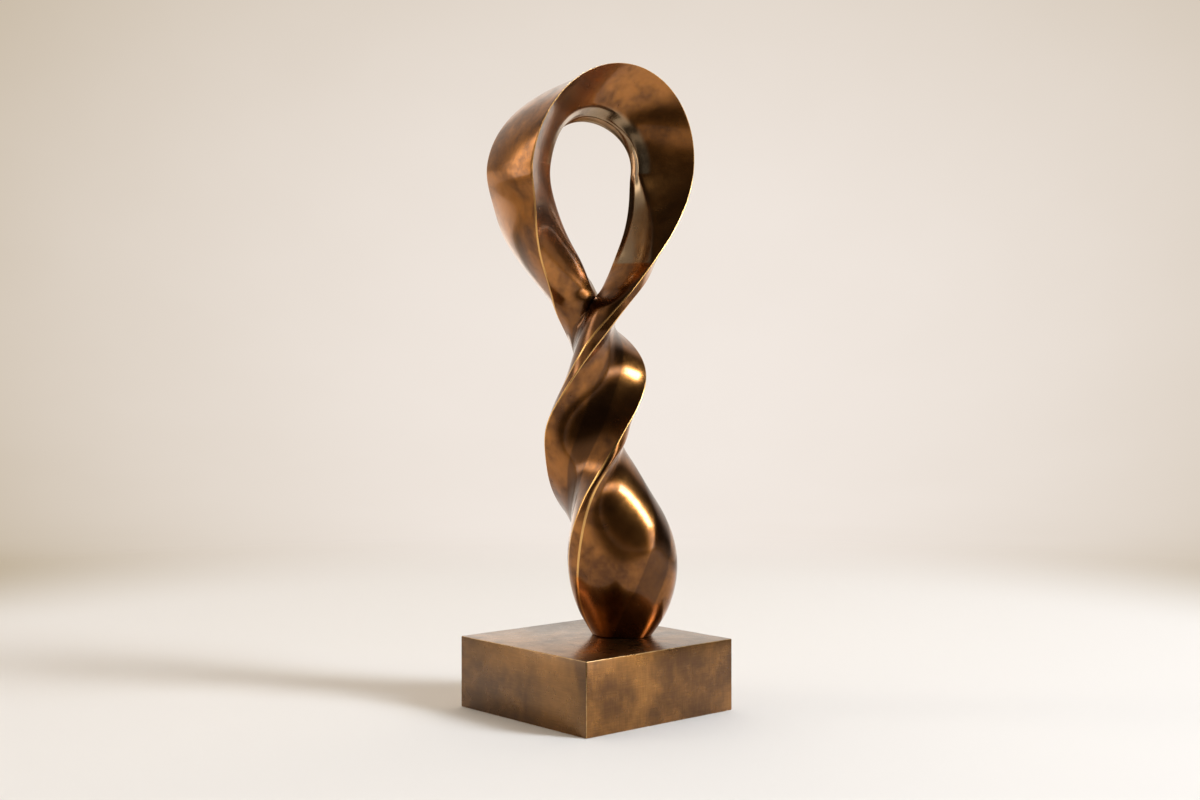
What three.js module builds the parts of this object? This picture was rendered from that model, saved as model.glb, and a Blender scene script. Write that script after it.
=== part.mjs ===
import * as THREE from "three";

// Abstract cast sculpture on a square plinth, millimetres, +Z up.
// The plinth stands on z = 0, centred on the origin. The loop faces -Y.

// Plinth: a square block with slightly worn edges.
const plinthSide = 150;
const plinthHeight = 55.5;
const plinthEdge = 1.2;

// Sculpture: two strands wound round a leaning core line, each with a flat rim band.
// The strands part at partHeight and meet again in a round arch above springHeight.
const partHeight = 312;
const springHeight = 420;
const archLean = 0.165;
const noseHalf = 6.5;
const noseSwell = 3;
// Inner faces: a crest turns each front face inward; on the right strand it starts at the rim.
const crestFrom = 347;
const crestShare = 0.93;
const noseDrop = 11;

// Top of the arch: how far each corner of the strand stands above springHeight and
// how far forward it sits.
const crownRimFront = [81.5, 28];
const crownNoseFront = [43, -12];
const crownCrest = [0.75, 5.75];
const crownNoseBack = [40, -16];
const crownRimBack = [66.5, -21];
const crownFlare = -5;
const crownBack = 4;

// Facets: along a face, across a rim band, round a nose, and along the height.
const faceSteps = 10;
const bandSteps = 4;
const noseSteps = 4;
const lowerRows = 42;
const upperRows = 17;
const archRows = 34;

// Sizes of the cross-section at sixteen heights.
const heights = [55.5, 75, 95, 120, 145, 170, 195, 220, 245, 270, 295, 320, 345, 370, 395, 420];
// Sideways shift of the core line.
const lean = [27, 25.5, 22.5, 16.5, 7.5, -1.5, -6, -3.5, 3.5, 9, 9.5, 5.5, 0, -3.5, -5, -4];
// Twist of the right and left strand, degrees.
const turnRight = [400, 380, 360, 338, 313, 288, 261, 232, 201, 172, 134, 90, 48, 24, 9, 0];
const turnLeft = [387, 380, 372, 360, 343, 318, 275, 223, 183, 146, 105, 52, 26, 14, 6, 0];
// Distance of each rim band from the core line.
const reachRight = [22.5, 33.5, 38.5, 39.5, 37.5, 36, 35, 35.5, 32.5, 30, 30, 34, 44.5, 61, 75.5, 83.5];
const reachLeft = [23, 33, 38.5, 39.5, 36, 30, 26.5, 27, 28, 24.5, 24.5, 34, 50, 63, 72.5, 82];
// Half the width of each rim band.
const bandRight = [12.5, 16.5, 21, 25.5, 27.5, 22, 13.5, 8, 4.5, 4.5, 4.5, 4.5, 9.5, 15, 22.5, 28.5];
const bandLeft = [2.5, 4.5, 5.5, 6, 4.5, 3, 4, 12, 21, 26.5, 24, 25.5, 29.5, 31.5, 30.5, 28];
// Distance from the core line to the bottom of the front and back trough.
const troughFront = [23.5, 32, 40.5, 47, 50, 46, 41.5, 34, 27, 22.5, 19, 16, 13, 9.5, 7, 4.5];
const troughBack = [24.5, 31.5, 34.5, 32, 24.5, 15, 11.5, 7, 5, 8.5, 9, 7, 7, 6.5, 6.5, 6];
// Outward swell of the faces between rim and trough.
const swellFront = [8.5, 12, 15, 16.5, 15, 12.5, 9.5, 7.5, 7, 6.5, 6.5, 5, 3, 1, -1.5, -3.5];
const swellRoot = [10, 11, 11, 9, 6, 2.5, 0.5, -0.5, 0, 1, 2, 2, 1, 0, -1.5, -3];
const swellBack = [9, 9, 8, 5.5, 2.5, 1.5, 1, 0.5, 0, 0, 0.5, 1.5, 2, 2, 1.5, 0];
// Half the gap between the strands, and the swell of the left strand's outer band.
const gapHalf = [0, 0.5, 0.5, 1, 0.5, -0.5, -2.5, -5, -7, -7, -5, 1.5, 14, 29, 41, 48];
const bandSwell = [0.5, 1, 1, 1, 1, 1.5, 2.5, 3.5, 4.5, 6, 7.5, 10, 10, 8, 5.5, 3];

// Smooth curve through the sizes, level at the last height unless a slope is given.
function curveThrough(values, endSlope) {
  const n = heights.length;
  const step = (i) => heights[i + 1] - heights[i];
  const rise = (i) => (values[i + 1] - values[i]) / step(i);
  const upper = new Array(n).fill(0);
  const slope = new Array(n).fill(0);
  upper[0] = 0.5;
  slope[0] = 1.5 * rise(0);
  for (let i = 1; i < n - 1; i += 1) {
    const before = 1 / step(i - 1);
    const after = 1 / step(i);
    const pivot = 2 * (before + after) - before * upper[i - 1];
    upper[i] = after / pivot;
    slope[i] = (3 * (before * rise(i - 1) + after * rise(i)) - before * slope[i - 1]) / pivot;
  }
  slope[n - 1] = endSlope;
  for (let i = n - 2; i >= 0; i -= 1) {
    slope[i] -= upper[i] * slope[i + 1];
  }
  return (z) => {
    let i = 0;
    while (i < n - 2 && z > heights[i + 1]) {
      i += 1;
    }
    const t = (z - heights[i]) / step(i);
    const a = values[i] * (1 + 2 * t) + step(i) * slope[i] * t;
    const b = values[i + 1] * (3 - 2 * t) + step(i) * slope[i + 1] * (t - 1);
    return a * (1 - t) * (1 - t) + b * t * t;
  };
}

const sizes = {
  lean: curveThrough(lean, archLean),
  turn: [curveThrough(turnRight, 0), curveThrough(turnLeft, 0)],
  reach: [curveThrough(reachRight, 0), curveThrough(reachLeft, 0)],
  band: [curveThrough(bandRight, 0), curveThrough(bandLeft, 0)],
  troughFront: curveThrough(troughFront, 0),
  troughBack: curveThrough(troughBack, 0),
  swellFront: curveThrough(swellFront, 0),
  swellRoot: curveThrough(swellRoot, 0),
  swellBack: curveThrough(swellBack, 0),
  gap: curveThrough(gapHalf, 0),
  bandSwell: curveThrough(bandSwell, 0),
};

function mix(a, b, t) {
  return a.map((value, i) => value + (b[i] - value) * t);
}

// Points of a bowed face from one corner to the next; side picks the way it bows.
// A crest is [share, height]: a fold that stands proud part of the way along.
function bowedFace(from, to, swellNear, swellFar, side, steps, crest = [0.5, 0]) {
  const run = [to[0] - from[0], to[1] - from[1]];
  const length = Math.hypot(run[0], run[1]) + 1e-9;
  const out = [(-run[1] / length) * side, (run[0] / length) * side];
  const points = [];
  for (let i = 0; i <= steps; i += 1) {
    const t = i / steps;
    const roof = Math.min(t / Math.max(crest[0], 0.001), (1 - t) / (1 - crest[0]));
    const bow = 3 * t * (1 - t) * (swellNear * (1 - t) + swellFar * t) + crest[1] * roof;
    points.push([from[0] + run[0] * t + out[0] * bow, from[1] + run[1] * t + out[1] * bow]);
  }
  return points;
}

// Four faces of one strand from its corners: front, back, rim band and inner nose.
function strandFaces(corners, front, back, band, nose, crest) {
  const [rim, tip] = [corners.rimFront, corners.noseFront];
  return {
    front: bowedFace(rim, tip, front[0], front[1], -1, faceSteps, crest),
    back: bowedFace(corners.rimBack, corners.noseBack, back[0], back[1], 1, faceSteps),
    band: bowedFace(corners.rimFront, corners.rimBack, band[0], band[1], 1, bandSteps),
    nose: bowedFace(corners.noseFront, corners.noseBack, nose, nose, -1, noseSteps),
  };
}

// One strand cut level at height z, in its own turned frame (out from the core, forward).
function strandAt(z, side) {
  const turn = THREE.MathUtils.degToRad(sizes.turn[side](z));
  const meanTurn = THREE.MathUtils.degToRad((sizes.turn[0](z) + sizes.turn[1](z)) / 2);
  const sign = side === 0 ? 1 : -1;
  const skew = meanTurn - turn;
  const trough = (d) => [-Math.sin(skew) * d * sign, Math.cos(skew) * d];
  const reach = sizes.reach[side](z);
  const band = sizes.band[side](z);
  const parted = THREE.MathUtils.smoothstep(z, partHeight, partHeight + 15);
  const gap = z > partHeight ? Math.max(sizes.gap(z), 0) : 0;
  const troughs = [trough(sizes.troughFront(z)), trough(-sizes.troughBack(z))];
  const drop = noseDrop * THREE.MathUtils.smoothstep(z, 318, 355);
  const corners = {
    rimFront: [reach, band],
    rimBack: [reach, -band],
    noseFront: mix(troughs[0], [gap, noseHalf - drop], parted),
    noseBack: mix(troughs[1], [gap, -noseHalf], parted),
  };
  const swell = sizes.swellFront(z);
  const front = [side === 1 ? sizes.swellRoot(z) : swell, swell];
  const back = [sizes.swellBack(z), sizes.swellBack(z)];
  const bow = side === 1 ? sizes.bandSwell(z) : 0.1 * band;
  const nose = Math.min(noseSwell, gap * 0.4);
  const climb = Math.max((z - crestFrom) / (springHeight - crestFrom), 0);
  const share = side === 1 ? crestShare : crestShare * climb ** 0.75;
  return {
    faces: strandFaces(corners, front, back, [bow, bow], nose, [share, drop * share]),
    turn,
    sign,
  };
}

// A level cut placed in space.
function placedStrand(z, side) {
  const cut = strandAt(z, side);
  const across = [Math.cos(cut.turn) * cut.sign, Math.sin(cut.turn) * cut.sign];
  const ahead = [-Math.sin(cut.turn), Math.cos(cut.turn)];
  const place = ([p, q]) => {
    const u = sizes.lean(z) + p * across[0] + q * ahead[0];
    const w = p * across[1] + q * ahead[1];
    return [u, -w, z];
  };
  const placed = {};
  for (const name of Object.keys(cut.faces)) {
    placed[name] = cut.faces[name].map(place);
  }
  return placed;
}

// Order of the points round a strand: front face, nose, back face, rim band.
function ringOf(faces) {
  return [
    ...faces.front,
    ...faces.nose.slice(1),
    ...[...faces.back].reverse().slice(1),
    ...[...faces.band].reverse().slice(1, -1),
  ];
}

// Order of the points round both strands where they are fused.
function fusedRing(right, left) {
  return [
    ...right.front,
    ...[...left.front].reverse().slice(1),
    ...left.band.slice(1),
    ...left.back.slice(1),
    ...[...right.back].reverse().slice(1),
    ...[...right.band].reverse().slice(1, -1),
  ];
}

// Rows over the top of the loop, from the right strand to the left one.
function archRing(angle) {
  const crown = ringOf(strandFaces(
    { rimFront: crownRimFront, noseFront: crownNoseFront, noseBack: crownNoseBack, rimBack: crownRimBack },
    [-4, -4],
    [1.5, 1.5],
    [crownFlare, crownBack],
    noseSwell,
    crownCrest,
  ));
  const sides = [0, 1].map((side) => ringOf(strandAt(springHeight, side).faces));
  const share = (1 - Math.cos(angle)) / 2;
  const lift = Math.sin(angle);
  return crown.map(([rise, ahead], i) => {
    const [p, q] = mix(sides[0][i], sides[1][i], share);
    const z = springHeight + rise * lift;
    const u = sizes.lean(springHeight) + archLean * rise * lift + p * Math.cos(angle);
    return [u, -(q + (ahead - q) * lift * lift), z];
  });
}

function meshFrom(name, triangles, material) {
  const geometry = new THREE.BufferGeometry();
  const flat = triangles.flat(2);
  geometry.setAttribute("position", new THREE.Float32BufferAttribute(flat, 3));
  geometry.computeVertexNormals();
  const mesh = new THREE.Mesh(geometry, material);
  mesh.name = name;
  return mesh;
}

// Band of triangles between two rows of points; rows run clockwise seen along the travel.
function joinRows(triangles, lower, upper) {
  const n = lower.length;
  for (let i = 0; i < n; i += 1) {
    const k = (i + 1) % n;
    triangles.push([lower[i], upper[i], upper[k]]);
    triangles.push([lower[i], upper[k], lower[k]]);
  }
}

function sculptureTriangles() {
  const triangles = [];
  let row = null;
  let seam = null;
  for (let i = 0; i <= lowerRows; i += 1) {
    const z = plinthHeight + ((partHeight - plinthHeight) * i) / lowerRows;
    const right = placedStrand(z, 0);
    const left = placedStrand(z, 1);
    // Both strands share one point at the bottom of each trough.
    left.front[faceSteps] = right.front[faceSteps];
    left.back[faceSteps] = right.back[faceSteps];
    const next = fusedRing(right, left);
    if (row === null) {
      const centre = [sizes.lean(z), 0, z];
      next.forEach((point, k) => triangles.push([centre, point, next[(k + 1) % next.length]]));
    } else {
      joinRows(triangles, row, next);
    }
    row = next;
    // Across the bottom of the opening both strands share one row of points.
    right.nose = right.nose.map((point, k) => {
      return mix(right.front[faceSteps], right.back[faceSteps], k / noseSteps);
    });
    left.nose = right.nose;
    seam = [right, left];
  }
  [0, 1].forEach((side) => {
    let last = ringOf(seam[side]);
    for (let i = 1; i <= upperRows; i += 1) {
      const z = partHeight + ((springHeight - partHeight) * i) / upperRows;
      let next = ringOf(placedStrand(z, side));
      if (side === 0) {
        joinRows(triangles, last, next);
      } else {
        joinRows(triangles, next, last);
      }
      last = next;
    }
  });
  let last = archRing(0);
  for (let i = 1; i <= archRows; i += 1) {
    const next = archRing((Math.PI * i) / archRows);
    joinRows(triangles, last, next);
    last = next;
  }
  return triangles;
}

// Square block whose upright, top and bottom edges are all cut back a little.
function plinthTriangles() {
  const half = plinthSide / 2;
  const ring = (inset, z) => {
    const points = [];
    const near = half - plinthEdge;
    const far = half - inset;
    const cornerX = [1, 1, -1, -1];
    const cornerY = [-1, 1, 1, -1];
    for (let i = 0; i < 4; i += 1) {
      const alongY = [cornerX[i] * far, cornerY[i] * (near - inset), z];
      const alongX = [cornerX[i] * (near - inset), cornerY[i] * far, z];
      points.push(...(i % 2 === 0 ? [alongX, alongY] : [alongY, alongX]));
    }
    return points.reverse();
  };
  const rows = [
    ring(plinthEdge, 0),
    ring(0, plinthEdge),
    ring(0, plinthHeight - plinthEdge),
    ring(plinthEdge, plinthHeight),
  ];
  const triangles = [];
  for (let i = 1; i < rows.length; i += 1) {
    joinRows(triangles, rows[i - 1], rows[i]);
  }
  const bottom = rows[0];
  const top = rows[rows.length - 1];
  for (let i = 1; i < bottom.length - 1; i += 1) {
    triangles.push([bottom[0], bottom[i], bottom[i + 1]]);
    triangles.push([top[0], top[i + 1], top[i]]);
  }
  return triangles;
}

const bronze = new THREE.MeshStandardMaterial({ color: 0x8a5a30, roughness: 0.3, metalness: 1 });
const darkBronze = new THREE.MeshStandardMaterial({ color: 0x6b4a2c, roughness: 0.45, metalness: 1 });

const part = new THREE.Group();
part.name = "abstract-loop-sculpture";
part.add(meshFrom("plinth", plinthTriangles(), darkBronze));
part.add(meshFrom("sculpture", sculptureTriangles(), bronze));

export default part;
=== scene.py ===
import math

import bpy
import numpy as np
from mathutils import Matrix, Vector


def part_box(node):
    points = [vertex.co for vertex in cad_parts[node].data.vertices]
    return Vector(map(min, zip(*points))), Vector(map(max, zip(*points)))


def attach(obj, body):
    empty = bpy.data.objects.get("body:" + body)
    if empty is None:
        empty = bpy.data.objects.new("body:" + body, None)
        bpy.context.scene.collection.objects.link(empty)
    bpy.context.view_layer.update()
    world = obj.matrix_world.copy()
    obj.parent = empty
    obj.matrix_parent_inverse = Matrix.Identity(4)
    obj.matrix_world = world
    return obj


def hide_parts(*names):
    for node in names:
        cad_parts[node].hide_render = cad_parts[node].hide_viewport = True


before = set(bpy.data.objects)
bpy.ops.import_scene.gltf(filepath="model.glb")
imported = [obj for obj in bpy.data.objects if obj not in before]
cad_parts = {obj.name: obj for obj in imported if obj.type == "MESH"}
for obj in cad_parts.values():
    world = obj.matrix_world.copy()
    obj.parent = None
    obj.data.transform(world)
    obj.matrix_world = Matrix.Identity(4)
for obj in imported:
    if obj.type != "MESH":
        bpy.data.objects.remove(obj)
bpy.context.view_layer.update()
print("frame loaded:", sorted(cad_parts))

# The twisted form, in millimetres and degrees. Each list gives a fitted, rounded value
# at each of the heights.
form = {
    "plinthHeight": 55.5,
    "partHeight": 312,
    "springHeight": 420,
    "archLean": 0.165,
    "archRadius": 70,      # for the run of the grain along the arch
    "noseHalf": 6.5,
    "noseSwell": 3,
    "crestFrom": 347,
    "crestShare": 0.93,
    "crestRise": 0.75,     # power of the crest's climb along the right strand
    "crestAbove": 6,       # the crest starts this far above the parting
    "noseDrop": 11,
    "dropFrom": 318,
    "dropTo": 355,
    "partReach": 15,       # how far above the parting the noses take to open
    "crownRimFront": (81.5, 28),
    "crownNoseFront": (43, -12),
    "crownCrest": (0.75, 5.75),
    "crownNoseBack": (40, -16),
    "crownRimBack": (66.5, -21),
    "crownFlare": -5,
    "crownBack": 4,
    "crownSwellFront": (-4, -4),
    "crownSwellBack": (1.5, 1.5),
    "heights": [55.5, 75, 95, 120, 145, 170, 195, 220, 245, 270, 295, 320, 345, 370, 395, 420],
    "lean": [27, 25.5, 22.5, 16.5, 7.5, -1.5, -6, -3.5, 3.5, 9, 9.5, 5.5, 0, -3.5, -5, -4],
    "turnRight": [400, 380, 360, 338, 313, 288, 261, 232, 201, 172, 134, 90, 48, 24, 9, 0],
    "turnLeft": [387, 380, 372, 360, 343, 318, 275, 223, 183, 146, 105, 52, 26, 14, 6, 0],
    "reachRight": [22.5, 33.5, 38.5, 39.5, 37.5, 36, 35, 35.5, 32.5, 30, 30, 34, 44.5, 61, 75.5, 83.5],
    "reachLeft": [23, 33, 38.5, 39.5, 36, 30, 26.5, 27, 28, 24.5, 24.5, 34, 50, 63, 72.5, 82],
    "bandRight": [12.5, 16.5, 21, 25.5, 27.5, 22, 13.5, 8, 4.5, 4.5, 4.5, 4.5, 9.5, 15, 22.5, 28.5],
    "bandLeft": [2.5, 4.5, 5.5, 6, 4.5, 3, 4, 12, 21, 26.5, 24, 25.5, 29.5, 31.5, 30.5, 28],
    "troughFront": [23.5, 32, 40.5, 47, 50, 46, 41.5, 34, 27, 22.5, 19, 16, 13, 9.5, 7, 4.5],
    "troughBack": [24.5, 31.5, 34.5, 32, 24.5, 15, 11.5, 7, 5, 8.5, 9, 7, 7, 6.5, 6.5, 6],
    "swellFront": [8.5, 12, 15, 16.5, 15, 12.5, 9.5, 7.5, 7, 6.5, 6.5, 5, 3, 1, -1.5, -3.5],
    "swellRoot": [10, 11, 11, 9, 6, 2.5, 0.5, -0.5, 0, 1, 2, 2, 1, 0, -1.5, -3],
    "swellBack": [9, 9, 8, 5.5, 2.5, 1.5, 1, 0.5, 0, 0, 0.5, 1.5, 2, 2, 1.5, 0],
    "gapHalf": [0, 0.5, 0.5, 1, 0.5, -0.5, -2.5, -5, -7, -7, -5, 1.5, 14, 29, 41, 48],
    "bandSwell": [0.5, 1, 1, 1, 1, 1.5, 2.5, 3.5, 4.5, 6, 7.5, 10, 10, 8, 5.5, 3],
}

finish = {
    "faceSteps": 40,     # along a broad face
    "bandSteps": 14,     # across a rim band
    "noseSteps": 8,      # across an inner nose
    "edgeSteps": 4,      # round a worn rim
    "foldSteps": 6,      # round a nose or in a trough
    "rimRound": 1.1,     # how far a rim's rounding reaches along the faces
    "noseRound": 2.0,    # the same for noses
    "troughRound": 10.0,  # and for the troughs between the strands
    "crestRound": 2.5,   # and for the crests on the front faces
    "seamRound": 0.35,   # the folds close up where the strands part
    "seamReach": 22,
    "lowerRows": 190,
    "upperRows": 84,
    "archRows": 150,
    "farAway": 99.0,     # stands for no rim or fold on a face
    "wearReach": 0.9,    # worn metal beside a rim
    "wearPower": 1.3,
    "hollowReach": 9,    # darker brown beside a trough
    "hollowPower": 1.2,
    "hollowAbove": 10,
    "easeAbove": 2,      # where and how far the parting is eased
    "easeReach": 9,
    "easeRounds": 30,
    "innerBlend": 0.06,  # softness of the edge of the painted reflection on an inner face
}


def curveThrough(values, endSlope=0.0):
    x = np.array(form["heights"], float)
    y = np.array(values, float)
    n = len(x)
    step = np.diff(x)
    rise = np.diff(y) / step
    lhs = np.zeros((n, n))
    rhs = np.zeros(n)
    lhs[0, 0], lhs[0, 1], rhs[0] = 2, 1, 3 * rise[0]
    for i in range(1, n - 1):
        lhs[i, i - 1] = 1 / step[i - 1]
        lhs[i, i] = 2 * (1 / step[i - 1] + 1 / step[i])
        lhs[i, i + 1] = 1 / step[i]
        rhs[i] = 3 * (rise[i - 1] / step[i - 1] + rise[i] / step[i])
    lhs[n - 1, n - 1], rhs[n - 1] = 1, endSlope
    slope = np.linalg.solve(lhs, rhs)

    def at(z):
        i = int(np.clip(np.searchsorted(x, z) - 1, 0, n - 2))
        t = (z - x[i]) / step[i]
        a = y[i] * (1 + 2 * t) + step[i] * slope[i] * t
        b = y[i + 1] * (3 - 2 * t) + step[i] * slope[i + 1] * (t - 1)
        return a * (1 - t) ** 2 + b * t * t
    return at


curves = {
    name: curveThrough(values, form["archLean"] if name == "lean" else 0.0)
    for name, values in form.items()
    if isinstance(values, list) and name != "heights"
}


def smoothStep(value, low, high):
    t = min(max((value - low) / (high - low), 0), 1)
    return t * t * (3 - 2 * t)


def mix(a, b, share):
    return np.asarray(a, float) * (1 - share) + np.asarray(b, float) * share


class Face:
    # One bowed face between two corners of a section, with its points by share of its run.
    # A crest is (share, height): a soft fold that stands proud part of the way along.

    def __init__(self, start, end, swell, side, crest=None):
        self.start = np.array(start, float)
        self.run = np.array(end, float) - self.start
        self.length = math.hypot(*self.run) + 1e-6
        self.out = np.array([-self.run[1], self.run[0]]) / self.length * side
        self.swell = swell
        self.crest = crest
        self.inner = False

    def at(self, t):
        t = np.atleast_1d(np.asarray(t, float))[:, None]
        bow = 3 * t * (1 - t) * (self.swell[0] * (1 - t) + self.swell[1] * t)
        if self.crest:
            share, height = self.crest
            soft = finish["crestRound"] / self.length
            near = t / max(share, 1e-3)
            far = (1 - t) / max(1 - share, 1e-3)
            gap = near - far
            blur = soft * (1 / max(share, 0.05) + 1 / max(1 - share, 0.05)) / 2
            roof = (near + far - np.sqrt(gap * gap + blur * blur)) / 2
            bow = bow + height * np.clip(roof, 0, 1)
        return self.start + self.run * t + self.out * bow

    def turned(self):
        back = Face(self.start + self.run, self.start, (self.swell[1], self.swell[0]), 1)
        back.out = self.out
        back.inner = self.inner
        return back


def spread(low, high, steps):
    # Shares along a face, closer together near its two ends.
    s = np.linspace(0, 1, steps + 1)
    s = 0.35 * s + 0.65 * (0.5 - 0.5 * np.cos(math.pi * s))
    return low + (high - low) * s


def rounding(before, after, reach, steps):
    # Points that turn the corner between two faces, without its two end points.
    a, b = min(reach, 0.35 * before.length), min(reach, 0.35 * after.length)
    ta, tb = 1 - a / before.length, b / after.length
    p0, p3 = before.at(ta)[0], after.at(tb)[0]
    way0 = (before.at(ta + 1e-3)[0] - before.at(ta - 1e-3)[0])
    way3 = (after.at(tb + 1e-3)[0] - after.at(tb - 1e-3)[0])
    way0 = way0 / (np.hypot(*way0) + 1e-9)
    way3 = way3 / (np.hypot(*way3) + 1e-9)
    p1, p2 = p0 + way0 * a * 0.62, p3 - way3 * b * 0.62
    t = np.linspace(0, 1, steps + 1)[1:-1, None]
    points = p0 * (1 - t) ** 3 + 3 * p1 * t * (1 - t) ** 2 + 3 * p2 * t * t * (1 - t) + p3 * t ** 3
    return points, ta, tb


def traceRing(faces, corners):
    # faces: (face, steps); corners[i] is (reach, steps, kind) at the end of face i.
    count = len(faces)
    rounds = [
        rounding(faces[i][0], faces[(i + 1) % count][0], corners[i][0], corners[i][1])
        for i in range(count)
    ]
    none = finish["farAway"]
    points, rim, fold, across, inner = [], [], [], [], []
    for i in range(count):
        face, steps = faces[i]
        low, high = rounds[i - 1][2], rounds[i][1]
        t = spread(low, high, steps)
        points.append(face.at(t))
        near, far = t * face.length, (1 - t) * face.length
        startRim, endRim = corners[i - 1][2] == "rim", corners[i][2] == "rim"
        nowhere = np.full(len(t), none)
        rim.append(np.minimum(near if startRim else nowhere, far if endRim else nowhere))
        fold.append(np.minimum(nowhere if startRim else near, nowhere if endRim else far))
        across.append(near)
        begin = face.crest[0] if face.crest else (0.0 if face.inner else 2.0)
        inner.append(np.clip((t - begin) / finish["innerBlend"] + 0.5, 0, 1) * (begin > 0.02 or face.inner))
        extra = len(rounds[i][0])
        points.append(rounds[i][0])
        rim.append(np.full(extra, 0.0 if endRim else none))
        fold.append(np.full(extra, none if endRim else 0.0))
        across.append(np.full(extra, face.length))
        inner.append(np.full(extra, 0.5 * (inner[-1][-1] + 1.0 * face.inner)))
    return tuple(np.concatenate(part) for part in (points, rim, fold, across, inner))


def strandFaces(corners, front, back, band, nose, crest=None):
    faces = {
        "front": Face(corners["rimFront"], corners["noseFront"], front, -1, crest),
        "back": Face(corners["rimBack"], corners["noseBack"], back, 1),
        "band": Face(corners["rimFront"], corners["rimBack"], band, 1),
        "nose": Face(corners["noseFront"], corners["noseBack"], (nose, nose), -1),
    }
    faces["nose"].inner = True
    return faces


def strandAt(z, side):
    which = ("Right", "Left")[side]
    turn = math.radians(curves["turn" + which](z))
    other = math.radians(curves["turn" + ("Left", "Right")[side]](z))
    sign = 1 if side == 0 else -1
    skew = (turn + other) / 2 - turn
    reach, band = curves["reach" + which](z), curves["band" + which](z)
    parted = smoothStep(z, form["partHeight"], form["partHeight"] + form["partReach"])
    gap = max(curves["gapHalf"](z), 0) if z > form["partHeight"] else 0

    def trough(depth):
        return np.array([-math.sin(skew) * depth * sign, math.cos(skew) * depth])

    half = form["noseHalf"]
    drop = form["noseDrop"] * smoothStep(z, form["dropFrom"], form["dropTo"])
    corners = {
        "rimFront": (reach, band),
        "rimBack": (reach, -band),
        "noseFront": mix(trough(curves["troughFront"](z)), (gap, half - drop), parted),
        "noseBack": mix(trough(-curves["troughBack"](z)), (gap, -half), parted),
    }
    swell = curves["swellFront"](z)
    front = (curves["swellRoot"](z) if side == 1 else swell, swell)
    back = (curves["swellBack"](z), curves["swellBack"](z))
    bow = curves["bandSwell"](z) if side == 1 else 0.1 * band
    crest = None
    if z > form["partHeight"] + form["crestAbove"]:
        share = form["crestShare"]
        if side == 0:
            climb = (z - form["crestFrom"]) / (form["springHeight"] - form["crestFrom"])
            share *= max(climb, 0) ** form["crestRise"]
        crest = (share, drop * share)
    faces = strandFaces(corners, front, back, (bow, bow), min(form["noseSwell"], gap * 0.4), crest)
    return faces, turn, sign


def placed(z, side, faces, turn, sign):
    # The faces of one strand turned and moved to their place in the level section.
    across = np.array([math.cos(turn), math.sin(turn)]) * sign
    ahead = np.array([-math.sin(turn), math.cos(turn)])
    lean = curves["lean"](z)
    moved = {}
    for name, face in faces.items():
        copy = Face((0, 0), (1, 0), face.swell, 1)
        copy.start = np.array([lean, 0]) + face.start[0] * across + face.start[1] * ahead
        copy.run = face.run[0] * across + face.run[1] * ahead
        copy.out = face.out[0] * across + face.out[1] * ahead
        copy.length = face.length
        copy.crest = face.crest
        copy.inner = face.inner
        moved[name] = copy
    return moved


def foldReach(z):
    # Troughs below the parting, noses above it; both close up where the strands part.
    away = abs(z - form["partHeight"]) / finish["seamReach"]
    full = finish["troughRound"] if z < form["partHeight"] else finish["noseRound"]
    return finish["seamRound"] + (full - finish["seamRound"]) * smoothStep(away, 0, 1)


def strandRing(faces, reach):
    rimCorner = (finish["rimRound"], finish["edgeSteps"], "rim")
    foldCorner = (reach, finish["foldSteps"], "fold")
    return traceRing(
        [(faces["front"], finish["faceSteps"]), (faces["nose"], finish["noseSteps"]),
         (faces["back"].turned(), finish["faceSteps"]), (faces["band"].turned(), finish["bandSteps"])],
        [foldCorner, foldCorner, rimCorner, rimCorner],
    )


def fusedRing(right, left, reach):
    rimCorner = (finish["rimRound"], finish["edgeSteps"], "rim")
    foldCorner = (reach, 2 * finish["foldSteps"], "fold")
    return traceRing(
        [(right["front"], finish["faceSteps"]), (left["front"].turned(), finish["faceSteps"]),
         (left["band"], finish["bandSteps"]), (left["back"], finish["faceSteps"]),
         (right["back"].turned(), finish["faceSteps"]), (right["band"].turned(), finish["bandSteps"])],
        [foldCorner, rimCorner, rimCorner, foldCorner, rimCorner, rimCorner],
    )


class Skin:
    # Collects rows of points and the quads between them.

    def __init__(self):
        self.points, self.rim, self.fold, self.grain, self.inner, self.quads = [], [], [], [], [], []
        self.count = 0

    def add(self, flat, z, rim, fold, along, across, inner):
        n = len(flat)
        points = np.column_stack([flat[:, 0], -flat[:, 1], np.broadcast_to(z, n)])
        self.points.append(points)
        self.rim.append(rim)
        self.fold.append(fold)
        self.inner.append(inner)
        self.grain.append(np.column_stack([np.full(n, along), across, np.zeros(n)]))
        self.count += n
        return np.arange(self.count - n, self.count)

    def join(self, lower, upper):
        a, b = np.roll(lower, -1), np.roll(upper, -1)
        self.quads.append(np.column_stack([lower, upper, b, a]))


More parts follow.
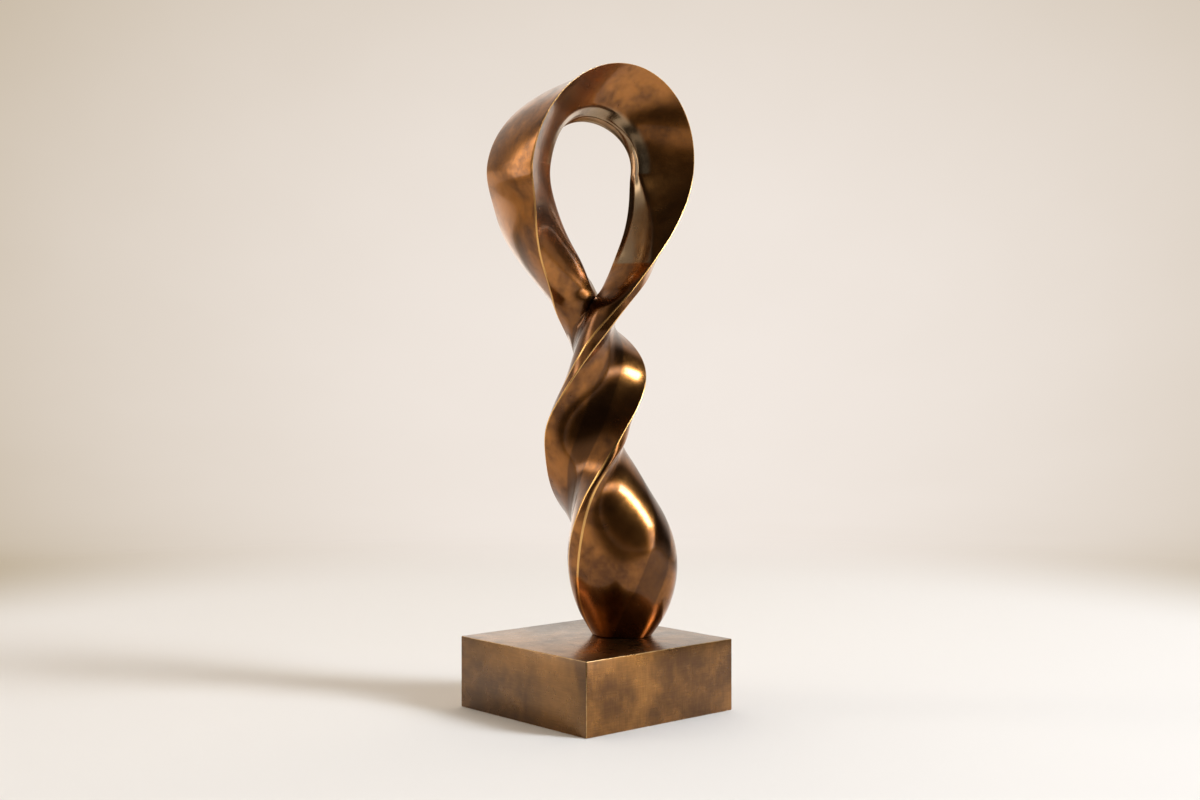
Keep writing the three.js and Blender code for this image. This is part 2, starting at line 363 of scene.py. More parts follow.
def buildSculpture():
    skin = Skin()
    lower, part, spring = form["plinthHeight"], form["partHeight"], form["springHeight"]
    previous = None
    for i in range(finish["lowerRows"] + 1):
        z = lower + (part - lower) * i / finish["lowerRows"]
        pair = [placed(z, side, *strandAt(z, side)) for side in (0, 1)]
        row = skin.add(*rowOf(fusedRing(*pair, foldReach(z)), z))
        if previous is None:
            bottom = row
        else:
            skin.join(previous, row)
        previous = row
    # Split the fused row: each strand keeps its own faces, and both share a row across.
    half = finish["foldSteps"]
    face, fold = finish["faceSteps"] + 1, 2 * half - 1
    band, edge = finish["bandSteps"] + 1, finish["edgeSteps"] - 1
    rightFront = previous[:face]
    frontFold = previous[face:face + fold]
    start = face + fold
    leftFront = previous[start:start + face]
    start += face + edge
    leftBand = previous[start:start + band]
    leftRims = (previous[start - edge:start], previous[start + band:start + band + edge])
    start += band + edge
    leftBack = previous[start:start + face]
    start += face
    backFold = previous[start:start + fold]
    start += fold
    rightBack = previous[start:start + face]
    start += face
    rightRims = (previous[start:start + edge], previous[start + edge + band:])
    rightBand = previous[start + edge:start + edge + band]
    middleFront, middleBack = frontFold[half - 1], backFold[half - 1]
    allPoints = np.concatenate(skin.points)
    bridge = []
    for k in range(1, finish["noseSteps"]):
        share = k / finish["noseSteps"]
        point = mix(allPoints[middleFront], allPoints[middleBack], share)
        flat = np.array([[point[0], -point[1]]])
        away, here, inner = np.array([finish["farAway"]]), np.zeros(1), np.ones(1)
        bridge.append(skin.add(flat, part, away, here, part, here, inner)[0])
    bridge = np.array(bridge)
    rightRow = np.concatenate([
        rightFront, frontFold[:half - 1], [middleFront], bridge, [middleBack], backFold[half:],
        rightBack, rightRims[0], rightBand, rightRims[1],
    ])
    leftRow = np.concatenate([
        leftFront[::-1], frontFold[half:][::-1], [middleFront], bridge, [middleBack],
        backFold[:half - 1][::-1],
        leftBack[::-1], leftRims[1][::-1], leftBand[::-1], leftRims[0][::-1],
    ])
    springRings = []
    lastRows = []
    for side, last in ((0, rightRow), (1, leftRow)):
        for i in range(1, finish["upperRows"] + 1):
            z = part + (spring - part) * i / finish["upperRows"]
            ring = strandRing(placed(z, side, *strandAt(z, side)), foldReach(z))
            row = skin.add(*rowOf(ring, z))
            if side == 0:
                skin.join(last, row)
            else:
                skin.join(row, last)
            last = row
        lastRows.append(last)
        springRings.append(strandRing(strandAt(spring, side)[0], finish["noseRound"]))
    crown = strandRing(strandFaces(
        {"rimFront": form["crownRimFront"], "noseFront": form["crownNoseFront"],
         "noseBack": form["crownNoseBack"], "rimBack": form["crownRimBack"]},
        form["crownSwellFront"], form["crownSwellBack"], (form["crownFlare"], form["crownBack"]),
        form["noseSwell"], form["crownCrest"]), finish["noseRound"])
    last = lastRows[0]
    for i in range(1, finish["archRows"] + 1):
        angle = math.pi * i / finish["archRows"]
        if i == finish["archRows"]:
            skin.join(last, lastRows[1])
            break
        share, lift = (1 - math.cos(angle)) / 2, math.sin(angle)
        side = mix(springRings[0][0], springRings[1][0], share)
        rise, ahead = crown[0][:, 0], crown[0][:, 1]
        z = spring + rise * lift
        u = curves["lean"](spring) + form["archLean"] * rise * lift + side[:, 0] * math.cos(angle)
        w = side[:, 1] + (ahead - side[:, 1]) * lift * lift
        along = spring + angle * form["archRadius"]
        row = skin.add(np.column_stack([u, w]), z, crown[1], crown[2], along, crown[3], crown[4])
        skin.join(last, row)
        last = row
    points = np.concatenate(skin.points)
    quads = np.concatenate(skin.quads)
    centre = len(points)
    points = np.vstack([points, [[curves["lean"](lower), 0, lower]]])
    cap = [(centre, int(a), int(b)) for a, b in zip(bottom, np.roll(bottom, -1))]
    rim = np.append(np.concatenate(skin.rim), finish["farAway"])
    fold = np.append(np.concatenate(skin.fold), finish["farAway"])
    grain = np.vstack([np.concatenate(skin.grain), [[0, 0, 0]]])
    inner = np.append(np.concatenate(skin.inner), 0)
    return points, quads, cap, rim, fold, grain, inner


def rowOf(ring, z):
    flat, rim, fold, across, inner = ring
    return flat, z, rim, fold, z, across, inner


def relax(points, quads, weight, rounds):
    # Eases the creases where the strands part, leaving the rest as it is.
    pairs = np.concatenate([quads[:, [0, 1]], quads[:, [1, 2]], quads[:, [2, 3]], quads[:, [3, 0]]])
    pairs = np.concatenate([pairs, pairs[:, ::-1]])
    count = np.bincount(pairs[:, 0], minlength=len(points)).astype(float)
    for _ in range(rounds):
        total = np.zeros_like(points)
        for k in range(3):
            total[:, k] = np.bincount(pairs[:, 0], weights=points[pairs[:, 1], k], minlength=len(points))
        points += weight[:, None] * 0.5 * (total / np.maximum(count, 1)[:, None] - points)
    return points


def makeSculpture():
    points, quads, cap, rim, fold, grain, inner = buildSculpture()
    # The finer mesh would pass the solid's box by a hair, so its points are held to it.
    low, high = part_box("sculpture")
    points = np.clip(points, np.array(low) * 1000, np.array(high) * 1000)
    away = (points[:, 2] - form["partHeight"] - finish["easeAbove"]) / finish["easeReach"]
    weight = np.exp(-away ** 2) * np.clip((14 - fold) / 10, 0, 1) * np.clip((rim - 2) / 4, 0, 1)
    points = relax(points, quads, weight, finish["easeRounds"])
    mesh = bpy.data.meshes.new("twistedForm")
    faces = [tuple(int(i) for i in q) for q in quads] + cap
    mesh.from_pydata((points / 1000).tolist(), [], faces)
    mesh.polygons.foreach_set("use_smooth", [True] * len(mesh.polygons))
    rimWear = mesh.attributes.new("rimWear", "FLOAT", "POINT")
    worn = np.exp(-(rim / finish["wearReach"]) ** finish["wearPower"])
    rimWear.data.foreach_set("value", worn.astype(np.float32))
    hollow = mesh.attributes.new("hollow", "FLOAT", "POINT")
    deep = np.exp(-(fold / finish["hollowReach"]) ** finish["hollowPower"])
    deep *= points[:, 2] < form["partHeight"] + finish["hollowAbove"]
    hollow.data.foreach_set("value", deep.astype(np.float32))
    # A mask of the loop's inner faces, for the painted reflection on them.
    inside = mesh.attributes.new("innerReflectionMask", "FLOAT", "POINT")
    inside.data.foreach_set("value", inner.astype(np.float32))
    run = mesh.attributes.new("strandRun", "FLOAT_VECTOR", "POINT")
    run.data.foreach_set("vector", (grain / 1000).astype(np.float32).ravel())
    mesh.update()
    piece = bpy.data.objects.new("twisted-form", mesh)
    bpy.context.scene.collection.objects.link(piece)
    print("sculpture:", len(points), "points,", len(faces), "faces")
    return piece


block = {"edgeRound": 0.0009, "edgeSegments": 4, "sharpAngle": 50}


def makePlinth():
    low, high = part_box("plinth")
    mesh = bpy.data.meshes.new("plinthBlock")
    corners = [(x, y, z) for z in (low.z, high.z) for x, y in
               ((low.x, low.y), (high.x, low.y), (high.x, high.y), (low.x, high.y))]
    sides = [(0, 3, 2, 1), (4, 5, 6, 7)] + [(i, (i + 1) % 4, (i + 1) % 4 + 4, i + 4) for i in range(4)]
    mesh.from_pydata(corners, [], sides)
    piece = bpy.data.objects.new("plinth-block", mesh)
    bpy.context.scene.collection.objects.link(piece)
    bevel = piece.modifiers.new("wornEdges", "BEVEL")
    bevel.width = block["edgeRound"]
    bevel.segments = block["edgeSegments"]
    bevel.limit_method = "NONE"
    bpy.context.view_layer.objects.active = piece
    piece.select_set(True)
    bpy.ops.object.modifier_apply(modifier=bevel.name)
    piece.select_set(False)
    mesh = piece.data
    mesh.polygons.foreach_set("use_smooth", [True] * len(mesh.polygons))
    mesh.set_sharp_from_angle(angle=math.radians(block["sharpAngle"]))
    print("plinth:", len(mesh.polygons), "faces")
    return piece


def newGroup(name, inputs, outputs):
    group = bpy.data.node_groups.new(name, "ShaderNodeTree")
    for label, kind, value in inputs:
        socket = group.interface.new_socket(name=label, in_out="INPUT", socket_type=kind)
        if value is not None:
            socket.default_value = value
    for label, kind in outputs:
        group.interface.new_socket(name=label, in_out="OUTPUT", socket_type=kind)
    start = group.nodes.new("NodeGroupInput")
    end = group.nodes.new("NodeGroupOutput")
    return group, start, end


def addNode(tree, kind, **settings):
    node = tree.nodes.new(kind)
    for key, value in settings.items():
        setattr(node, key, value)
    return node


def link(tree, source, target):
    tree.links.new(source, target)


def mathNode(tree, operation, a, b=None, clamp=False):
    node = addNode(tree, "ShaderNodeMath", operation=operation, use_clamp=clamp)
    for i, value in enumerate((a, b)):
        if value is None:
            continue
        if isinstance(value, (int, float)):
            node.inputs[i].default_value = value
        else:
            link(tree, value, node.inputs[i])
    return node.outputs[0]


def noise(tree, vector, scale, detail=4.0, roughness=0.5, distortion=0.0):
    node = addNode(tree, "ShaderNodeTexNoise")
    node.inputs["Detail"].default_value = detail
    node.inputs["Roughness"].default_value = roughness
    node.inputs["Distortion"].default_value = distortion
    if isinstance(scale, (int, float)):
        node.inputs["Scale"].default_value = scale
    else:
        link(tree, scale, node.inputs["Scale"])
    link(tree, vector, node.inputs["Vector"])
    return node.outputs[0]


def mapRange(tree, value, low, high, toLow=0.0, toHigh=1.0, smooth=False):
    node = addNode(tree, "ShaderNodeMapRange", clamp=True)
    if smooth:
        node.interpolation_type = "SMOOTHSTEP"
    link(tree, value, node.inputs["Value"])
    for name, number in (("From Min", low), ("From Max", high), ("To Min", toLow), ("To Max", toHigh)):
        if isinstance(number, (int, float)):
            node.inputs[name].default_value = number
        else:
            link(tree, number, node.inputs[name])
    return node.outputs["Result"]


def makePatinaClouds():
    # Soft cloudy drift of a hand-applied patina: 0 thin and coppery, 1 dense and dark.
    group, start, end = newGroup(
        "patinaClouds",
        [("Scale", "NodeSocketFloat", 14.0), ("Spread", "NodeSocketFloat", 0.2),
         ("Level", "NodeSocketFloat", 0.5)],
        [("Mask", "NodeSocketFloat"), ("Fine", "NodeSocketFloat")],
    )
    place = addNode(group, "ShaderNodeTexCoord").outputs["Object"]
    broad = noise(group, place, start.outputs["Scale"], 3.0, 0.55, 0.6)
    finer = noise(group, place, mathNode(group, "MULTIPLY", start.outputs["Scale"], 5.5), 5.0, 0.6, 0.3)
    broadPart = mathNode(group, "MULTIPLY", broad, 0.72)
    both = mathNode(group, "ADD", broadPart, mathNode(group, "MULTIPLY", finer, 0.28))
    low = mathNode(group, "SUBTRACT", start.outputs["Level"], start.outputs["Spread"])
    high = mathNode(group, "ADD", start.outputs["Level"], start.outputs["Spread"])
    link(group, mapRange(group, both, low, high, smooth=True), end.inputs["Mask"])
    link(group, finer, end.inputs["Fine"])
    return group


def makeBrushGrain():
    # Hairline marks of abrasive pads: two crossing sets of long thin streaks.
    group, start, end = newGroup(
        "brushGrain",
        [("Vector", "NodeSocketVector", None), ("Scale", "NodeSocketFloat", 900.0),
         ("Stretch", "NodeSocketFloat", 0.03)],
        [("Height", "NodeSocketFloat"), ("Mask", "NodeSocketFloat")],
    )
    split = addNode(group, "ShaderNodeSeparateXYZ")
    link(group, start.outputs["Vector"], split.inputs[0])
    sets = []
    for lead in (0, 2):
        axes = []
        for axis in range(3):
            value = split.outputs[axis]
            if axis != lead:
                value = mathNode(group, "MULTIPLY", value, start.outputs["Stretch"])
            axes.append(value)
        join = addNode(group, "ShaderNodeCombineXYZ")
        for axis in range(3):
            link(group, axes[axis], join.inputs[axis])
        sets.append(noise(group, join.outputs[0], start.outputs["Scale"], 2.0, 0.6))
    both = mathNode(group, "MULTIPLY", mathNode(group, "ADD", sets[0], sets[1]), 0.5)
    link(group, both, end.inputs["Height"])
    link(group, mapRange(group, both, 0.42, 0.6), end.inputs["Mask"])
    return group


def makeEdgeWear():
    # Rubbed bright metal on rims; Rim is 1 on the edge itself.
    group, start, end = newGroup(
        "edgeWear",
        [("Rim", "NodeSocketFloat", 0.0), ("Breakup", "NodeSocketFloat", 0.3),
         ("Scale", "NodeSocketFloat", 160.0)],
        [("Mask", "NodeSocketFloat")],
    )
    place = addNode(group, "ShaderNodeTexCoord").outputs["Object"]
    grit = noise(group, place, start.outputs["Scale"], 3.0, 0.6)
    cut = mathNode(group, "MULTIPLY", mathNode(group, "SUBTRACT", grit, 0.5), start.outputs["Breakup"])
    worn = mathNode(group, "ADD", start.outputs["Rim"], mathNode(group, "MULTIPLY", cut, 2.0))
    link(group, mapRange(group, worn, 0.25, 0.75, smooth=True), end.inputs["Mask"])
    return group


groups = {"clouds": makePatinaClouds(), "grain": makeBrushGrain(), "wear": makeEdgeWear()}


def useGroup(tree, key, **values):
    node = addNode(tree, "ShaderNodeGroup", node_tree=groups[key])
    for name, value in values.items():
        socket = node.inputs[name]
        if isinstance(value, (int, float)):
            socket.default_value = value
        else:
            link(tree, value, socket)
    return node


def mixColour(tree, factor, a, b, blend="MIX"):
    node = addNode(tree, "ShaderNodeMix", data_type="RGBA", blend_type=blend)
    if isinstance(factor, (int, float)):
        node.inputs[0].default_value = factor
    else:
        link(tree, factor, node.inputs[0])
    for socket, value in ((node.inputs[6], a), (node.inputs[7], b)):
        if isinstance(value, tuple):
            socket.default_value = (*value, 1)
        else:
            link(tree, value, socket)
    return node.outputs[2]


def newMaterial(name):
    material = bpy.data.materials.new(name)
    material.use_nodes = True
    tree = material.node_tree
    shader = tree.nodes["Principled BSDF"]
    return material, tree, shader


bronze = {
    "copper": (0.37, 0.145, 0.033),
    "brown": (0.115, 0.043, 0.011),
    # painted reflection of the pale backdrop on the loop's inner faces
    "innerReflectionGrey": (0.30, 0.215, 0.125),
    "hollowBrown": (0.06, 0.024, 0.008),
    "rimGold": (0.74, 0.41, 0.13),
    "roughPolished": 0.17,
    "roughPatina": 0.28,
    "innerReflectionTint": 0.85,
    "hollowTint": 0.75,
    "coatWeight": 0.35,
    "coatRough": 0.07,
    "cloudScale": 20.0,
    "cloudSpread": 0.13,
    "wearBreakup": 0.2,
    "wearScale": 160.0,
    "grainScale": 1500.0,
    "grainStretch": 0.05,
    "grainStrength": 0.25,
    "grainDepth": 0.0002,
}


def makeBronze():
    material, tree, shader = newMaterial("patinatedBronze")
    clouds = useGroup(tree, "clouds", Scale=bronze["cloudScale"], Spread=bronze["cloudSpread"], Level=0.5)
    rim = addNode(tree, "ShaderNodeAttribute", attribute_name="rimWear").outputs["Fac"]
    deep = addNode(tree, "ShaderNodeAttribute", attribute_name="hollow").outputs["Fac"]
    run = addNode(tree, "ShaderNodeAttribute", attribute_name="strandRun").outputs["Vector"]
    wear = useGroup(tree, "wear", Rim=rim, Breakup=bronze["wearBreakup"], Scale=bronze["wearScale"])
    grain = useGroup(tree, "grain", Vector=run, Scale=bronze["grainScale"], Stretch=bronze["grainStretch"])
    colour = mixColour(tree, clouds.outputs["Mask"], bronze["copper"], bronze["brown"])
    # Painted reflection: the loop's inner faces are tinted grey-cream to stand for the pale backdrop they
    # mirror.
    inside = addNode(tree, "ShaderNodeAttribute", attribute_name="innerReflectionMask").outputs["Fac"]
    inside = mathNode(tree, "MULTIPLY", inside, bronze["innerReflectionTint"])
    deep = mathNode(tree, "MULTIPLY", deep, bronze["hollowTint"])
    colour = mixColour(tree, inside, colour, bronze["innerReflectionGrey"])
    colour = mixColour(tree, deep, colour, bronze["hollowBrown"])
    colour = mixColour(tree, wear.outputs["Mask"], colour, bronze["rimGold"])
    link(tree, colour, shader.inputs["Base Color"])
    rough = mapRange(tree, clouds.outputs["Fine"], 0.3, 0.7, bronze["roughPolished"], bronze["roughPatina"])
    link(tree, rough, shader.inputs["Roughness"])
    shader.inputs["Metallic"].default_value = 1.0
    shader.inputs["Coat Weight"].default_value = bronze["coatWeight"]
    shader.inputs["Coat Roughness"].default_value = bronze["coatRough"]
    bump = addNode(tree, "ShaderNodeBump")
    bump.inputs["Strength"].default_value = bronze["grainStrength"]
    bump.inputs["Distance"].default_value = bronze["grainDepth"]
    link(tree, grain.outputs["Height"], bump.inputs["Height"])
    link(tree, bump.outputs[0], shader.inputs["Normal"])
    return material


base = {
    "brass": (0.38, 0.172, 0.042),
    "brown": (0.13, 0.056, 0.016),
    "rimGold": (0.70, 0.44, 0.18),
    # painted shade for the face toward -X, away from the key light
    "paintedShadeColour": (0.05, 0.032, 0.016),
    "paintedShadeStrength": 0.5,
    "coatWeight": 0.5,
    "coatRough": 0.18,
    "roughLow": 0.24,
    "roughHigh": 0.34,
    "cloudScale": 15.0,
    "cloudSpread": 0.14,
    "wearBreakup": 0.3,
    "wearScale": 160.0,
    "grainScale": 1300.0,
    "grainStretch": 0.05,
    "grainStrength": 0.35,
    "grainDepth": 0.0003,
    "edgeReach": 0.0008,
}


def makePlinthBronze():
    material, tree, shader = newMaterial("brushedPlinthBronze")
    low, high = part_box("plinth")
    middle, half = (low + high) / 2, (high - low) / 2
    place = addNode(tree, "ShaderNodeTexCoord").outputs["Object"]
    # How close a point is to two faces at once gives the edges.
    shift = addNode(tree, "ShaderNodeVectorMath", operation="SUBTRACT")
    link(tree, place, shift.inputs[0])
    shift.inputs[1].default_value = middle
    split = addNode(tree, "ShaderNodeSeparateXYZ")
    link(tree, shift.outputs[0], split.inputs[0])
    away = [
        mathNode(tree, "SUBTRACT", half[i], mathNode(tree, "ABSOLUTE", split.outputs[i]))
        for i in range(3)
    ]
    largest = mathNode(tree, "MAXIMUM", mathNode(tree, "MAXIMUM", away[0], away[1]), away[2])
    smallest = mathNode(tree, "MINIMUM", mathNode(tree, "MINIMUM", away[0], away[1]), away[2])
    total = mathNode(tree, "ADD", mathNode(tree, "ADD", away[0], away[1]), away[2])
    second = mathNode(tree, "SUBTRACT", mathNode(tree, "SUBTRACT", total, largest), smallest)
    rim = mapRange(tree, second, 0.0, base["edgeReach"], 1.0, 0.0)
    wear = useGroup(tree, "wear", Rim=rim, Breakup=base["wearBreakup"], Scale=base["wearScale"])
    clouds = useGroup(tree, "clouds", Scale=base["cloudScale"], Spread=base["cloudSpread"], Level=0.5)
    grain = useGroup(tree, "grain", Vector=place, Scale=base["grainScale"], Stretch=base["grainStretch"])
    colour = mixColour(tree, clouds.outputs["Mask"], base["brass"], base["brown"])
    lines = mapRange(tree, grain.outputs["Mask"], 0, 1, 0.86, 1.12)
    shade = addNode(tree, "ShaderNodeCombineColor")
    for i in range(3):
        link(tree, lines, shade.inputs[i])
    colour = mixColour(tree, 1.0, colour, shade.outputs[0], "MULTIPLY")
    # Painted shade: the face toward -X, turned away from the key light, is darkened by world direction.
    facing = addNode(tree, "ShaderNodeSeparateXYZ")
    link(tree, addNode(tree, "ShaderNodeNewGeometry").outputs["True Normal"], facing.inputs[0])
    paintedShadeMask = mapRange(tree, facing.outputs[0], -0.9, -0.5, base["paintedShadeStrength"], 0.0)
    colour = mixColour(tree, paintedShadeMask, colour, base["paintedShadeColour"])
    colour = mixColour(tree, wear.outputs["Mask"], colour, base["rimGold"])
    link(tree, colour, shader.inputs["Base Color"])
    shader.inputs["Coat Weight"].default_value = base["coatWeight"]
    shader.inputs["Coat Roughness"].default_value = base["coatRough"]
    rough = mapRange(tree, clouds.outputs["Fine"], 0.3, 0.7, base["roughLow"], base["roughHigh"])
    link(tree, rough, shader.inputs["Roughness"])
    shader.inputs["Metallic"].default_value = 1.0
    bump = addNode(tree, "ShaderNodeBump")
    bump.inputs["Strength"].default_value = base["grainStrength"]
    bump.inputs["Distance"].default_value = base["grainDepth"]
    link(tree, grain.outputs["Height"], bump.inputs["Height"])
    link(tree, bump.outputs[0], shader.inputs["Normal"])
    return material


sculpture = makeSculpture()
sculpture.data.materials.append(makeBronze())
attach(sculpture, "root")
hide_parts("sculpture")

plinth = makePlinth()
plinth.data.materials.append(makePlinthBronze())
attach(plinth, "root")
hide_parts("plinth")

stageRoom = {
    "floorColour": (0.80, 0.755, 0.70),
    # painted light on the wall, pale in the middle and darker at the sides
    "wallPaintedLight": (0.89, 0.815, 0.755),
    "wallPaintedShade": (0.42, 0.325, 0.19),
    "glowToward": 44.5,      # compass angle of the brightest part of the painted light on the wall
    "glowWidth": 53.0,
    "glowHeight": 0.17,
    "glowTall": 1.96,
    # painted dark reflection on the near side of the floor
    "darkReflectionToward": -131.5,
    "darkReflectionFrom": 0.22,
    "darkReflectionTo": 0.60,
    "darkReflectionColour": (0.05, 0.042, 0.035),
    "flatRadius": 1.4,
    "blendFrom": 0.70,
    "blendTo": 1.25,
    "curve": 1.2,
    "height": 4.0,
    "rough": 0.9,
    "specular": 0.1,
    "around": 96,
    "bendPoints": 24,
}


def compassNodes(tree, vector):
    # Compass angle and the pieces of a position, in degrees and metres.
    split = addNode(tree, "ShaderNodeSeparateXYZ")
    link(tree, vector, split.inputs[0])
    angle = mathNode(tree, "ARCTAN2", split.outputs[1], split.outputs[0])
    return mathNode(tree, "MULTIPLY", angle, 180 / math.pi), split


def turnedBy(tree, angle, toward):
    # How far an angle lies from a compass direction, 0 to 180 degrees.
    shifted = mathNode(tree, "ADD", mathNode(tree, "SUBTRACT", angle, toward), 540.0)
    wrapped = mathNode(tree, "SUBTRACT", mathNode(tree, "MODULO", shifted, 360.0), 180.0)
    return mathNode(tree, "ABSOLUTE", wrapped)


def makeStageMaterial():
    material, tree, shader = newMaterial("paleSweep")
    room = stageRoom
    place = addNode(tree, "ShaderNodeTexCoord").outputs["Object"]
    angle, split = compassNodes(tree, place)
    # Painted light: the wall is palest toward glowToward and darkens to the sides and upward.
    aside = mathNode(tree, "DIVIDE", turnedBy(tree, angle, room["glowToward"]), room["glowWidth"])
    above = mathNode(tree, "SUBTRACT", split.outputs[2], room["glowHeight"])
    rise = mathNode(tree, "DIVIDE", mathNode(tree, "MAXIMUM", above, 0.0), room["glowTall"])
    squared = [mathNode(tree, "MULTIPLY", part, part) for part in (aside, rise)]
    fade = mathNode(tree, "ADD", *squared)
    drift = mapRange(tree, noise(tree, place, 3.0, 3.0), 0.3, 0.7, 0.0, 0.03)
    fade = mathNode(tree, "ADD", mathNode(tree, "MINIMUM", fade, 1.0), drift, clamp=True)
    wall = mixColour(tree, fade, room["wallPaintedLight"], room["wallPaintedShade"])
    squares = [mathNode(tree, "MULTIPLY", split.outputs[i], split.outputs[i]) for i in (0, 1)]
    radius = mathNode(tree, "SQRT", mathNode(tree, "ADD", *squares))
    far = mapRange(tree, radius, room["blendFrom"], room["blendTo"], smooth=True)
    shader.inputs["Base Color"].default_value = (*room["floorColour"], 1)
    shader.inputs["Roughness"].default_value = room["rough"]
    shader.inputs["Specular IOR Level"].default_value = room["specular"]
    # Past blendFrom the floor and the wall glow with the painted light instead of being lit.
    glow = addNode(tree, "ShaderNodeEmission")
    link(tree, wall, glow.inputs["Color"])
    blend = addNode(tree, "ShaderNodeMixShader")
    link(tree, far, blend.inputs[0])
    link(tree, shader.outputs[0], blend.inputs[1])
    link(tree, glow.outputs[0], blend.inputs[2])
    # Painted dark reflection: the near side of the floor shows dark to the metal alone.
    near = math.radians(room["darkReflectionToward"])
    reach = mathNode(tree, "ADD", mathNode(tree, "MULTIPLY", split.outputs[0], math.cos(near)),
                     mathNode(tree, "MULTIPLY", split.outputs[1], math.sin(near)))
    darkReflectionMask = mapRange(tree, reach, room["darkReflectionFrom"], room["darkReflectionTo"], smooth=True)
    mirrored = addNode(tree, "ShaderNodeLightPath").outputs["Is Glossy Ray"]
    shade = addNode(tree, "ShaderNodeEmission")
    shade.inputs["Color"].default_value = (*room["darkReflectionColour"], 1)
    darkReflectionMix = addNode(tree, "ShaderNodeMixShader")
    link(tree, mathNode(tree, "MULTIPLY", darkReflectionMask, mirrored), darkReflectionMix.inputs[0])
    link(tree, blend.outputs[0], darkReflectionMix.inputs[1])
    link(tree, shade.outputs[0], darkReflectionMix.inputs[2])
    link(tree, darkReflectionMix.outputs[0], tree.nodes["Material Output"].inputs["Surface"])
    return material


def makeStage():
    # A round pale floor that sweeps up into a wall, so every side has a backdrop; the wall and the outer
    # floor glow with a painted gradient of light.
    room = stageRoom
    material = makeStageMaterial()
    flat, curve = room["flatRadius"], room["curve"]
    bend = [
        (flat + curve * math.sin(a), curve * (1 - math.cos(a)))
        for a in np.linspace(0, math.pi / 2, room["bendPoints"])
    ]
    profiles = {
        "floor": [(0.0, 0.0), (flat * 0.5, 0.0), (flat, 0.0)],
        "backdrop": bend + [(flat + curve, room["height"])],
    }
    steps = room["around"]
    ring = [(math.cos(2 * math.pi * k / steps), math.sin(2 * math.pi * k / steps)) for k in range(steps)]
    for name, profile in profiles.items():
        points, faces = [], []
        for r, z in profile:
            points += [(r * x, r * y, z) for x, y in ring]
        for i in range(len(profile) - 1):
            for k in range(steps):
                n = (k + 1) % steps
                faces.append((i * steps + k, i * steps + n, (i + 1) * steps + n, (i + 1) * steps + k))
        mesh = bpy.data.meshes.new(name + "Sweep")
        mesh.from_pydata(points, [], faces)
        mesh.polygons.foreach_set("use_smooth", [True] * len(mesh.polygons))
        mesh.materials.append(material)
        piece = bpy.data.objects.new(name, mesh)
        bpy.context.scene.collection.objects.link(piece)
        if name == "backdrop":
            piece.visible_shadow = False
            piece.visible_glossy = False
            piece.visible_diffuse = False


cameraPlace = {"x": -0.8628, "y": -0.9808, "z": 0.2739, "yaw": 41.48, "lens": 50.16, "shiftY": -0.0353}


def makeCamera():
    data = bpy.data.cameras.new("studioCamera")
    data.lens = cameraPlace["lens"]
    data.sensor_width = 36
    data.shift_y = cameraPlace["shiftY"]
    camera = bpy.data.objects.new("studioCamera", data)
    camera.location = (cameraPlace["x"], cameraPlace["y"], cameraPlace["z"])
    camera.rotation_euler = (math.radians(90), 0, -math.radians(cameraPlace["yaw"]))
    bpy.context.scene.collection.objects.link(camera)
    bpy.context.scene.camera = camera


# toward is a compass angle from +X, height an angle above the floor, both in degrees.
lights = {
    "keyBox": {"toward": -63, "height": 36, "away": 3.5, "wide": 0.85, "tall": 1.7,
               "power": 112, "colour": (0.68, 0.82, 1.0), "gloss": True},
    "overheadFill": {"toward": 40, "height": 84, "away": 3.0, "wide": 3.0, "tall": 3.0,
                     "power": 41, "colour": (1.0, 0.87, 0.73), "gloss": False},
}


lightTarget = 0.22  # height the lights are aimed at


def aimedLight(name, spec):
    data = bpy.data.lights.new(name, "AREA")
    data.shape = "RECTANGLE"
    data.size, data.size_y = spec["wide"], spec["tall"]
    data.energy = spec["power"]
    data.color = spec["colour"]
    a, e = math.radians(spec["toward"]), math.radians(spec["height"])
    target = Vector((0, 0, lightTarget))
    way = Vector((math.cos(a) * math.cos(e), math.sin(a) * math.cos(e), math.sin(e)))
    light = bpy.data.objects.new(name, data)
    light.location = target + spec["away"] * way
    light.rotation_euler = (target - light.location).to_track_quat("-Z", "Y").to_euler()
    light.visible_camera = False
    light.visible_glossy = spec["gloss"]
    bpy.context.scene.collection.objects.link(light)


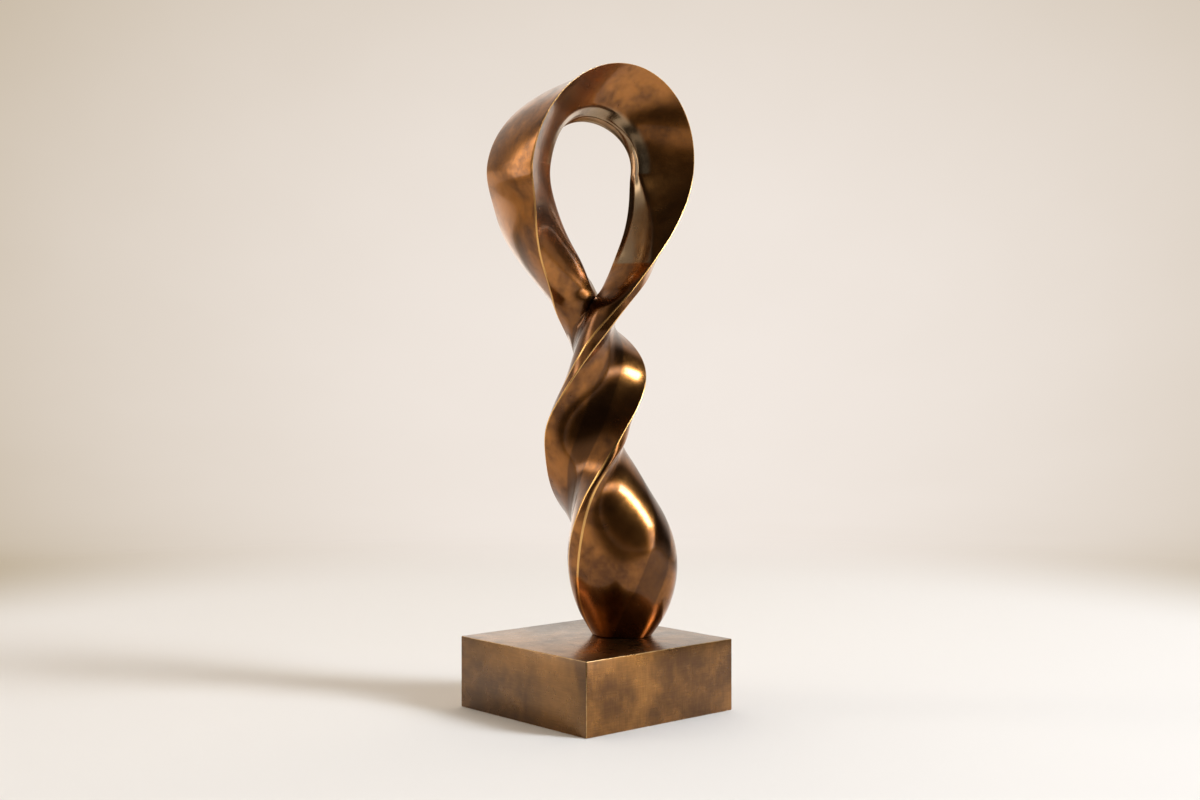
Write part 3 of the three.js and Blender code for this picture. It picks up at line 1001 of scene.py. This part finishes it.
# Soft panels of the room as the metal mirrors them: middle, half size and softness in degrees.
room = {
    "base": (0.045, 0.038, 0.032),
    "panels": [
        {"name": "backWall", "toward": 32, "half": 38, "height": 18, "tall": 42, "soft": 14,
         "colour": (1.0, 0.93, 0.84), "power": 0.85},
        {"name": "backLeft", "toward": 88, "half": 26, "height": 22, "tall": 46, "soft": 14,
         "colour": (1.0, 0.93, 0.84), "power": 0.75},
        {"name": "keyCore", "toward": -63, "half": 3.5, "height": 38, "tall": 11, "soft": 3,
         "colour": (1.0, 0.97, 0.92), "power": 13},
        {"name": "leftStrip", "toward": 137, "half": 7, "height": 8, "tall": 34, "soft": 5,
         "colour": (1.0, 0.95, 0.88), "power": 3.0},
        {"name": "leftWall", "toward": 150, "half": 30, "height": 25, "tall": 40, "soft": 14,
         "colour": (1.0, 0.93, 0.84), "power": 0.45},
        {"name": "rightStrip", "toward": -65, "half": 6, "height": 2, "tall": 20, "soft": 8,
         "colour": (1.0, 0.96, 0.90), "power": 6.0},
    ],
    "floorGlow": (0.55, 0.50, 0.44),
    "floorEdge": (-8.0, 2.0),
}


def makeWorld():
    world = bpy.data.worlds.new("studioRoom")
    world.use_nodes = True
    tree = world.node_tree
    way = addNode(tree, "ShaderNodeTexCoord").outputs["Generated"]
    angle, split = compassNodes(tree, way)
    height = mathNode(tree, "MULTIPLY", mathNode(tree, "ARCSINE", split.outputs[2]), 180 / math.pi)
    low = mapRange(tree, height, *room["floorEdge"], 1.0, 0.0, smooth=True)
    colour = mixColour(tree, low, room["base"], room["floorGlow"])
    for panel in room["panels"]:
        aside = turnedBy(tree, angle, panel["toward"])
        above = mathNode(tree, "ABSOLUTE", mathNode(tree, "SUBTRACT", height, panel["height"]))
        soft = panel["soft"]
        wide = mapRange(tree, aside, panel["half"] - soft, panel["half"] + soft, 1.0, 0.0, smooth=True)
        tall = mapRange(tree, above, panel["tall"] - soft, panel["tall"] + soft, 1.0, 0.0, smooth=True)
        mask = mathNode(tree, "MULTIPLY", mathNode(tree, "MULTIPLY", wide, tall), panel["power"])
        scaled = addNode(tree, "ShaderNodeVectorMath", operation="SCALE")
        scaled.inputs[0].default_value = panel["colour"]
        link(tree, mask, scaled.inputs["Scale"])
        colour = mixColour(tree, 1.0, colour, scaled.outputs[0], "ADD")
    link(tree, colour, tree.nodes["Background"].inputs["Color"])
    bpy.context.scene.world = world


makeStage()
makeCamera()
for name, spec in lights.items():
    aimedLight(name, spec)
makeWorld()
bpy.context.scene.view_settings.view_transform = "Standard"
print("studio ready")
